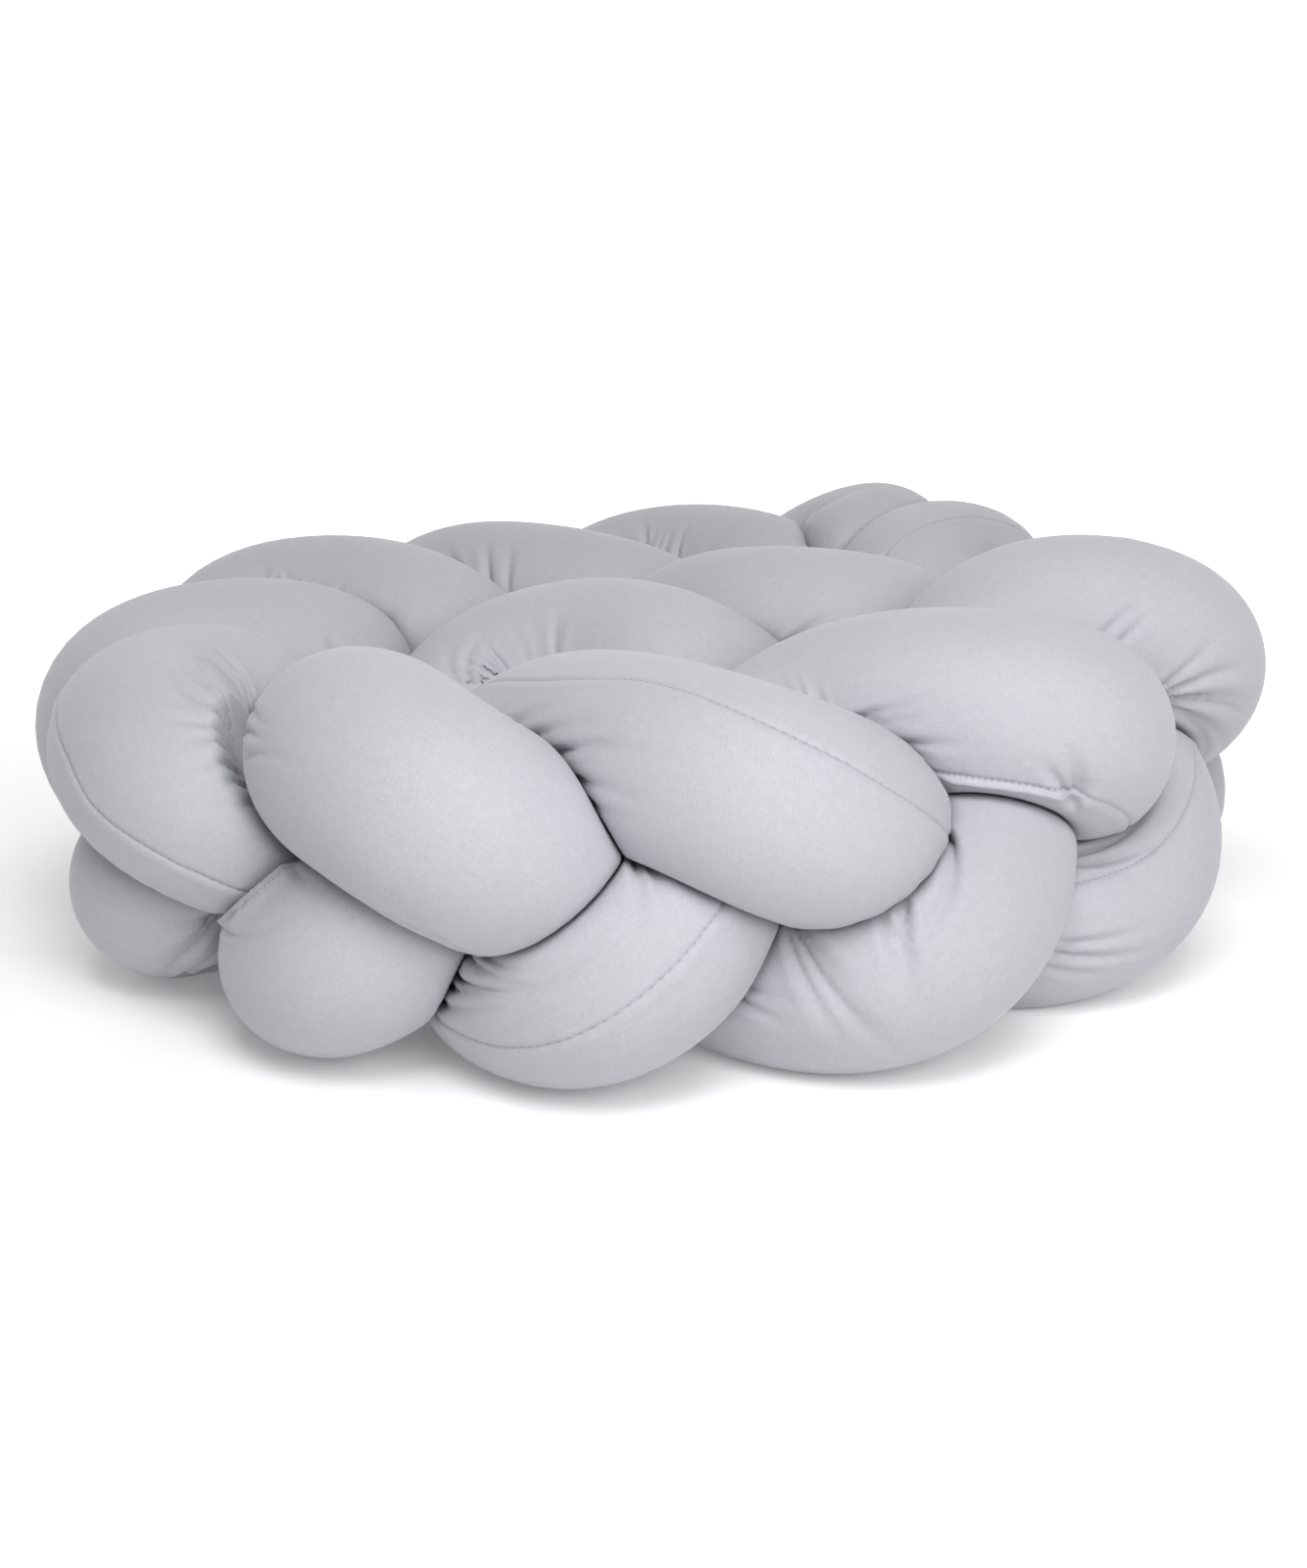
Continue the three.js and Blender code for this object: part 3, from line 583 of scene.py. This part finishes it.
def more_creases(s, rng):
    """Creases on the sides that the photograph doesn't show: small groups of them, where a tube
    dives under its neighbour, each pointing away from the place where it is pinched."""
    run, wall = s["run"], np.minimum(s["wall"], 62.0)
    v = ANGLES * TUBE_RADIUS
    w = blur(wall, 2.0, 2.0)
    gr = np.gradient(w, run, axis=0)
    gc = (np.roll(w, -1, 1) - np.roll(w, 1, 1)) / wrap(np.roll(v, -1) - np.roll(v, 1))[None]
    steep = np.hypot(gr, gc)
    edge = (w > 45.5) & (w < 49.5) & (steep > 0.15)
    away = s["x"] - EYE
    seen = (away * outward(s["x"])).sum(2) * s["sign"] / np.linalg.norm(away, axis=2) < 0.4
    for a, b in SEEN[s["name"]]:
        seen_rows = (s["fold"] > a) & (s["fold"] < b)
        edge &= ~(seen & seen_rows[:, None])
    edge &= (np.minimum(run, run[-1] - run) > 30)[:, None]
    edge &= ((s["name"] != "tube_a") | (s["fold"] > 1.0))[:, None]
    bent = blur((0.95 - s["ratio"])[:, :, None], 2, 2)[..., 0]
    out = []
    at = 35.0
    while at < run[-1] - 35:
        i = int(np.searchsorted(run, at))
        spots = np.argwhere(edge[max(i - 6, 0):i + 6])
        at += rng.uniform(16, 34)
        if not len(spots):
            continue
        i0, j0 = spots[rng.integers(len(spots))]
        i0 += max(i - 6, 0)
        strength = 0.9 + 1.1 * float(ease(bent[i0, j0] / 0.35))
        along = np.array([-gc[i0, j0], gr[i0, j0]]) / steep[i0, j0]
        away = np.array([gr[i0, j0], gc[i0, j0]]) / steep[i0, j0]
        for n in range(rng.integers(2, 6)):
            p = np.array([run[i0], v[j0]]) + along * (n - 2) * rng.uniform(5.0, 8.0)
            tilt = (n - 2) * rng.uniform(0.05, 0.22)
            dirn = away * math.cos(tilt) + along * math.sin(tilt)
            size = rng.uniform(14, 32)
            out.append((p - away * 7, p + dirn * size, strength * rng.uniform(0.5, 1.2), rng.uniform(2.6, 3.8), rng.normal() * 0.12))
    return out


def closure(s, field, c, rng):
    """A sewn edge that stands proud as a lip. Its stitch line is kept as distances across and along it, which place
    the painted shade of its groove and needle holes.
    """
    a, b = toward(s, c["fold"], c["turn"]), toward(s, c["fold2"], c["turn2"])
    d = np.array([b[0] - a[0], wrap(b[1] - a[1])])
    length = math.hypot(*d)
    d /= length
    x = s["run"][:, None] - a[0]
    y = wrap(s["v"] - a[1])
    t = x * d[0] + y * d[1]
    w = (-x * d[1] + y * d[0]) * c["inside"]
    bend = 4 * c["bow"] * np.clip(t / length, 0, 1) * (1 - np.clip(t / length, 0, 1))
    w = w + bend
    near = (t > -3) & (t < length + 3) & (np.abs(w) < 16)
    s["stitch_off"] = np.where(near & (t > 0) & (t < length), w - c["stitch"], s["stitch_off"])
    s["stitch_at"] = np.where(near, t, s["stitch_at"])
    body = ease((t + 2) / 5) * ease((length + 2 - t) / 5)
    phase = np.cumsum(rng.uniform(0.7, 1.3, 60)) * c["step"]
    wave = np.interp(t.ravel(), phase, rng.uniform(-1, 1, 60)).reshape(t.shape)
    w = w + c["ruffle"] * 0.5 * wave
    h = c["height"] * (1 + 0.25 * c["ruffle"] * wave)
    outer = np.exp(-(w / (0.8 * c["width"])) ** 2)
    inner = np.exp(-(w / (1.5 * c["width"])) ** 2) - 0.35 * np.exp(-((w - c["stitch"]) / 0.9) ** 2)
    lip = np.where(w < 0, outer, inner)
    field += body * h * lip * (np.abs(w) < 30)


def finish_cloth(s, seed):
    """Creases, the sewn seam and the closed ends, as moves along the surface's own direction."""
    rng = np.random.default_rng(seed)
    unseen = more_creases(s, rng)
    s = remesh(s)
    run, v = s["run"], wrap(s["v"])
    m = outward(s["x"]) * s["sign"]
    low, high = np.zeros(s["x"].shape[:2]), np.zeros(s["x"].shape[:2])
    for c in CREASES:
        if c["tube"] == s["name"]:
            a, b = toward(s, c["fold"], c["turn"]), toward(s, c["fold2"], c["turn2"])
            b = a + LONGER * np.array([b[0] - a[0], wrap(b[1] - a[1])])
            crease(s, low, high, a, b, DEEPER * c["depth"], c["width"], rng.normal() * 0.1)
    for c in unseen:
        crease(s, low, high, *c)
    field = low + high * np.exp(-np.abs(low))
    # the seam: a fine groove, the allowance lying under one side of it, and slight puckers across it
    beside = np.interp(run, np.arange(0, run[-1] + 3, 2.4), rng.standard_normal(len(np.arange(0, run[-1] + 3, 2.4))))[:, None]
    pucker = 0.12 * beside * np.exp(-(v / 6.0) ** 2)
    seam = -0.8 * np.exp(-(v / 0.9) ** 2) + 0.55 * np.exp(-((v - 4.0) / 3.0) ** 2) + 0.18 * np.exp(-((v + 3.2) / 2.4) ** 2)
    end = np.minimum(run, run[-1] - run)
    field += (seam + pucker) * ease((end - 10) / 30)[:, None]
    s["stitch_off"] = np.full(field.shape, 99.0)
    s["stitch_at"] = np.zeros(field.shape)
    for c in CLOSURES:
        if c["tube"] == s["name"]:
            closure(s, field, c, rng)
    free = np.clip(s["wall"] - s["r"] - np.maximum(s["moved"], 0), 0, 6)
    field = np.minimum(field, 0.2 + 0.7 * free)
    s["x"] = s["x"] + m * field[..., None]
    s["x"][..., 2] = np.maximum(s["x"][..., 2], 0)
    return s


# ---------------------------------------------------------------- meshes
def mesh_tube(s):
    x = s["x"]
    rows, cols = x.shape[:2]
    tips = ROUTES[s["k"]].at(np.array([0.0, ROUTES[s["k"]].total]))
    tips[0] = x[0].mean(0)
    tips[1] = x[-1].mean(0)
    verts = np.concatenate([x.reshape(-1, 3), tips]) / 1000
    verts[:, 2] = np.maximum(verts[:, 2], 0)
    i = np.arange(rows - 1)[:, None] * cols
    j = np.arange(cols)[None]
    jn = (j + 1) % cols
    quads = np.stack([i + j, i + jn, i + cols + jn, i + cols + j], -1).reshape(-1, 4)
    base = (rows - 1) * cols
    c = np.arange(cols)
    cn = (c + 1) % cols
    first = np.stack([np.full(cols, rows * cols), cn, c], 1)
    last = np.stack([np.full(cols, rows * cols + 1), base + c, base + cn], 1)
    tris = np.concatenate([first, last])
    me = bpy.data.meshes.new("cloth_" + s["name"])
    nq, nt = len(quads), len(tris)
    me.vertices.add(len(verts))
    me.vertices.foreach_set("co", verts.ravel().astype(np.float32))
    me.loops.add(4 * nq + 3 * nt)
    me.loops.foreach_set("vertex_index", np.concatenate([quads.ravel(), tris.ravel()]).astype(np.int32))
    me.polygons.add(nq + nt)
    start = np.concatenate([np.arange(nq) * 4, 4 * nq + np.arange(nt) * 3]).astype(np.int32)
    me.polygons.foreach_set("loop_start", start)
    me.polygons.foreach_set("use_smooth", np.ones(nq + nt, bool))
    me.update(calc_edges=True)
    me.validate()
    # cloth coordinates: millimetres along the tube and round it from the seam, over 100
    u, v = s["run"] / 100, np.concatenate([s["v"], np.full((rows, 1), GIRTH)], 1) / 100
    iq = np.repeat(np.arange(rows - 1), cols)
    jq = np.tile(np.arange(cols), rows - 1)
    q = np.stack([np.stack([u[iq], v[iq, jq]], 1), np.stack([u[iq], v[iq, jq + 1]], 1),
                  np.stack([u[iq + 1], v[iq + 1, jq + 1]], 1), np.stack([u[iq + 1], v[iq + 1, jq]], 1)], 1).reshape(-1, 2)
    tip0, tip1 = u[0] - 0.002, u[-1] + 0.002
    v0, v1 = v[0], v[-1]
    a = np.stack([np.stack([np.full(cols, tip0), 0.5 * (v0[c] + v0[c + 1])], 1), np.stack([np.full(cols, u[0]), v0[c + 1]], 1),
                  np.stack([np.full(cols, u[0]), v0[c]], 1)], 1).reshape(-1, 2)
    b = np.stack([np.stack([np.full(cols, tip1), 0.5 * (v1[c] + v1[c + 1])], 1), np.stack([np.full(cols, u[-1]), v1[c]], 1),
                  np.stack([np.full(cols, u[-1]), v1[c + 1]], 1)], 1).reshape(-1, 2)
    uv = me.uv_layers.new(name="cloth")
    uv.data.foreach_set("uv", np.concatenate([q, a, b]).ravel().astype(np.float32))
    for key, tail in (("stitch_off", 99.0), ("stitch_at", 0.0)):
        layer = me.attributes.new(key, "FLOAT", "POINT")
        layer.data.foreach_set("value", np.r_[s[key].ravel(), tail, tail].astype(np.float32))
    ob = bpy.data.objects.new("cloth_" + s["name"], me)
    bpy.context.scene.collection.objects.link(ob)
    return ob


# ---------------------------------------------------------------- materials
class Nodes:
    """Short names for building a node tree."""

    def __init__(self, name):
        self.mat = bpy.data.materials.new(name)
        self.mat.use_nodes = True
        self.tree = self.mat.node_tree
        self.bsdf = self.tree.nodes["Principled BSDF"]

    def new(self, kind, **sockets):
        n = self.tree.nodes.new(kind)
        for k, v in sockets.items():
            self.set(n, k, v)
        return n

    def set(self, n, k, v):
        s = n.inputs[int(k[1:])] if k[0] == "i" and k[1:].isdigit() else n.inputs[k.replace("_", " ")]
        if isinstance(v, bpy.types.NodeSocket):
            self.tree.links.new(v, s)
        else:
            s.default_value = v

    def math(self, op, a, b=0.0, c=0.0):
        n = self.tree.nodes.new("ShaderNodeMath")
        n.operation = op
        for i, v in enumerate((a, b, c)):
            if isinstance(v, bpy.types.NodeSocket):
                self.tree.links.new(v, n.inputs[i])
            else:
                n.inputs[i].default_value = v
        return n.outputs[0]

    def scaled(self, vec, sx, sy, turn=0.0):
        n = self.new("ShaderNodeMapping", Scale=(sx, sy, 1.0), Rotation=(0.0, 0.0, turn), Vector=vec)
        return n.outputs["Vector"]

    def noise(self, vec, scale, detail=2.0, rough=0.5):
        n = self.new("ShaderNodeTexNoise", Scale=scale, Detail=detail, Roughness=rough)
        n.noise_dimensions = "2D"
        self.tree.links.new(vec, n.inputs["Vector"])
        return n.outputs["Fac"]


def stitch_shade(m, off, at):
    """Painted shade on a sewn line: a fine dark line down its groove, darker at the needle holes. off and at are
    millimetres from it and along it.
    """
    line = m.math("SUBTRACT", 1.0, m.math("MINIMUM", m.math("DIVIDE", off, 0.65), 1.0))
    hole = m.math("GREATER_THAN", m.math("FRACT", m.math("DIVIDE", at, 2.1)), 0.60)
    return m.math("MULTIPLY", line, m.math("MULTIPLY_ADD", hole, 0.36, 0.14))


def cotton():
    m = Nodes("cotton")
    p = m.bsdf
    p.inputs["Roughness"].default_value = 0.60
    p.inputs["Specular IOR Level"].default_value = 0.30
    p.inputs["Sheen Weight"].default_value = 0.18
    p.inputs["Sheen Roughness"].default_value = 0.45
    p.inputs["Sheen Tint"].default_value = (0.95, 0.96, 1.0, 1.0)
    uv = m.new("ShaderNodeUVMap")
    uv.uv_map = "cloth"
    uv = uv.outputs["UV"]
    # one unit of the map is 100 mm: threads are about 0.4 mm thick and drift in thickness along their length
    warp = m.noise(m.scaled(uv, 26.0, 250.0), 1.0, 2.0, 0.55)
    weft = m.noise(m.scaled(uv, 250.0, 26.0), 1.0, 2.0, 0.55)
    thread = m.math("ADD", warp, weft)
    slub = m.math("ADD", m.noise(m.scaled(uv, 5.0, 70.0), 1.0, 2.0, 0.5), m.noise(m.scaled(uv, 70.0, 5.0), 1.0, 2.0, 0.5))
    cloud = m.noise(m.scaled(uv, 1.6, 1.6), 1.0, 3.0, 0.55)
    mixed = m.math("ADD", m.math("MULTIPLY", thread, 0.34), m.math("MULTIPLY", slub, 0.06))
    mixed = m.math("ADD", mixed, m.math("MULTIPLY", cloud, 0.20))
    ramp = m.new("ShaderNodeValToRGB")
    ramp.color_ramp.elements[0].position = 0.30
    ramp.color_ramp.elements[1].position = 0.70
    ramp.color_ramp.elements[0].color = (0.385, 0.385, 0.418, 1)
    ramp.color_ramp.elements[1].color = (0.475, 0.475, 0.513, 1)
    m.tree.links.new(mixed, ramp.inputs["Fac"])
    # painted shade of the sewn seam: a fine dark line down its groove, darker at needle holes every 2.1 mm
    uvx = m.new("ShaderNodeSeparateXYZ", Vector=uv)
    round_mm = m.math("MULTIPLY", uvx.outputs["Y"], 100.0)
    off = m.math("MINIMUM", round_mm, m.math("SUBTRACT", GIRTH, round_mm))
    seam = stitch_shade(m, off, m.math("MULTIPLY", uvx.outputs["X"], 100.0))
    # the same painted shade along the closed ends and along the gap the stuffing went in by
    away = m.new("ShaderNodeAttribute")
    away.attribute_name = "stitch_off"
    along = m.new("ShaderNodeAttribute")
    along.attribute_name = "stitch_at"
    edge = stitch_shade(m, m.math("ABSOLUTE", away.outputs["Fac"]), along.outputs["Fac"])
    # painted shade: the grooves and needle holes of the seam and the sewn edges darken the cloth's base colour
    painted_stitch_shade = m.math("MAXIMUM", seam, edge)
    groove_shade_mix = m.new("ShaderNodeMix")
    groove_shade_mix.data_type = "RGBA"
    groove_shade_mix.blend_type = "MIX"
    m.tree.links.new(painted_stitch_shade, groove_shade_mix.inputs["Factor"])
    m.tree.links.new(ramp.outputs["Color"], groove_shade_mix.inputs[6])
    # the near-black colour that the painted stitch shade mixes in
    groove_shade_mix.inputs[7].default_value = (0.13, 0.13, 0.15, 1)
    m.tree.links.new(groove_shade_mix.outputs[2], p.inputs["Base Color"])
    bump = m.new("ShaderNodeBump", Strength=0.30, Distance=0.0004, Height=thread)
    m.tree.links.new(bump.outputs["Normal"], p.inputs["Normal"])
    return m.mat


def paper_painted_glow():
    """The sheet it lies on glows, a painted light that is no lamp. The glow is faint in front of and under the object,
    which lifts the object's shadow there. It grows stronger behind the object, as a lit white backdrop does.
    """
    m = Nodes("paper_painted_glow")
    p = m.bsdf
    p.inputs["Base Color"].default_value = (0.90, 0.90, 0.90, 1)
    p.inputs["Roughness"].default_value = 0.9
    p.inputs["Specular IOR Level"].default_value = 0.1
    p.inputs["Emission Color"].default_value = (1, 1, 1, 1)
    place = m.new("ShaderNodeTexCoord").outputs["Object"]
    back = m.new("ShaderNodeSeparateXYZ", Vector=place).outputs["Y"]
    # painted light: emission strength 0.13 in front of the coil's middle, rising to 0.80 at 1.2 m behind it
    painted_glow = m.new("ShaderNodeMapRange", Value=back, From_Min=0.0, From_Max=1.2, To_Min=0.13, To_Max=0.80)
    m.tree.links.new(painted_glow.outputs["Result"], p.inputs["Emission Strength"])
    return m.mat


# ---------------------------------------------------------------- the three tubes
COTTON = cotton()
for k, tube in enumerate(TUBES):
    s = finish_cloth(settle(section(k), 31 + k), 71 + k)
    ob = mesh_tube(s)
    ob.data.materials.append(COTTON)
    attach(ob, "root")
    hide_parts(tube["name"])

# ---------------------------------------------------------------- floor, light and camera
def backdrop():
    bend = [(2.6 + 1.4 * math.sin(a), 1.4 - 1.4 * math.cos(a)) for a in np.linspace(0, math.pi / 2, 16)]
    line = [(-7.0, 0.0)] + bend + [(4.0, 7.0)]
    verts, faces = [], []
    for y, z in line:
        verts += [(-8.0, y, z), (8.0, y, z)]
    for i in range(len(line) - 1):
        faces.append((2 * i, 2 * i + 1, 2 * i + 3, 2 * i + 2))
    me = bpy.data.meshes.new("floor")
    me.from_pydata(verts, [], faces)
    me.polygons.foreach_set("use_smooth", [True] * len(me.polygons))
    ob = bpy.data.objects.new("floor", me)
    bpy.context.scene.collection.objects.link(ob)
    me.materials.append(paper_painted_glow())


def area(name, place, aim, size, power):
    li = bpy.data.lights.new(name, "AREA")
    li.shape = "RECTANGLE"
    li.size, li.size_y = size
    li.energy = power
    ob = bpy.data.objects.new(name, li)
    bpy.context.scene.collection.objects.link(ob)
    ob.location = place
    ob.rotation_euler = (Vector(aim) - Vector(place)).to_track_quat("-Z", "Y").to_euler()


backdrop()
area("front", (0.50, -1.30, 0.78), (0, 0, 0.08), (0.8, 0.6), 9.2)
area("high", (0.05, -1.05, 1.32), (0, 0, 0.08), (0.8, 0.6), 14.6)

world = bpy.data.worlds.new("studio")
bpy.context.scene.world = world
world.use_nodes = True
world.node_tree.nodes["Background"].inputs[0].default_value = (1, 1, 1, 1)
world.node_tree.nodes["Background"].inputs[1].default_value = 0.24
bpy.context.scene.view_settings.view_transform = "Standard"

FOCAL_PX, DISTANCE, ELEVATION = 2043.5, 1.0155, 15.99
AIM = (-0.0009 - COIL_MIDDLE[0] / 1000, 0.0 - COIL_MIDDLE[1] / 1000, (81.4 - SETTLE) / 1000)
cam = bpy.data.cameras.new("camera")
cam.sensor_fit = "VERTICAL"
cam.sensor_height = 36.0
cam.lens = FOCAL_PX / 1600 * 36.0
cam.clip_start = 0.05
cam.clip_end = 60
co = bpy.data.objects.new("camera", cam)
bpy.context.scene.collection.objects.link(co)
e = math.radians(ELEVATION)
co.location = (AIM[0], AIM[1] - DISTANCE * math.cos(e), AIM[2] + DISTANCE * math.sin(e))
co.rotation_euler = (math.pi / 2 - e, 0, 0)
bpy.context.scene.camera = co
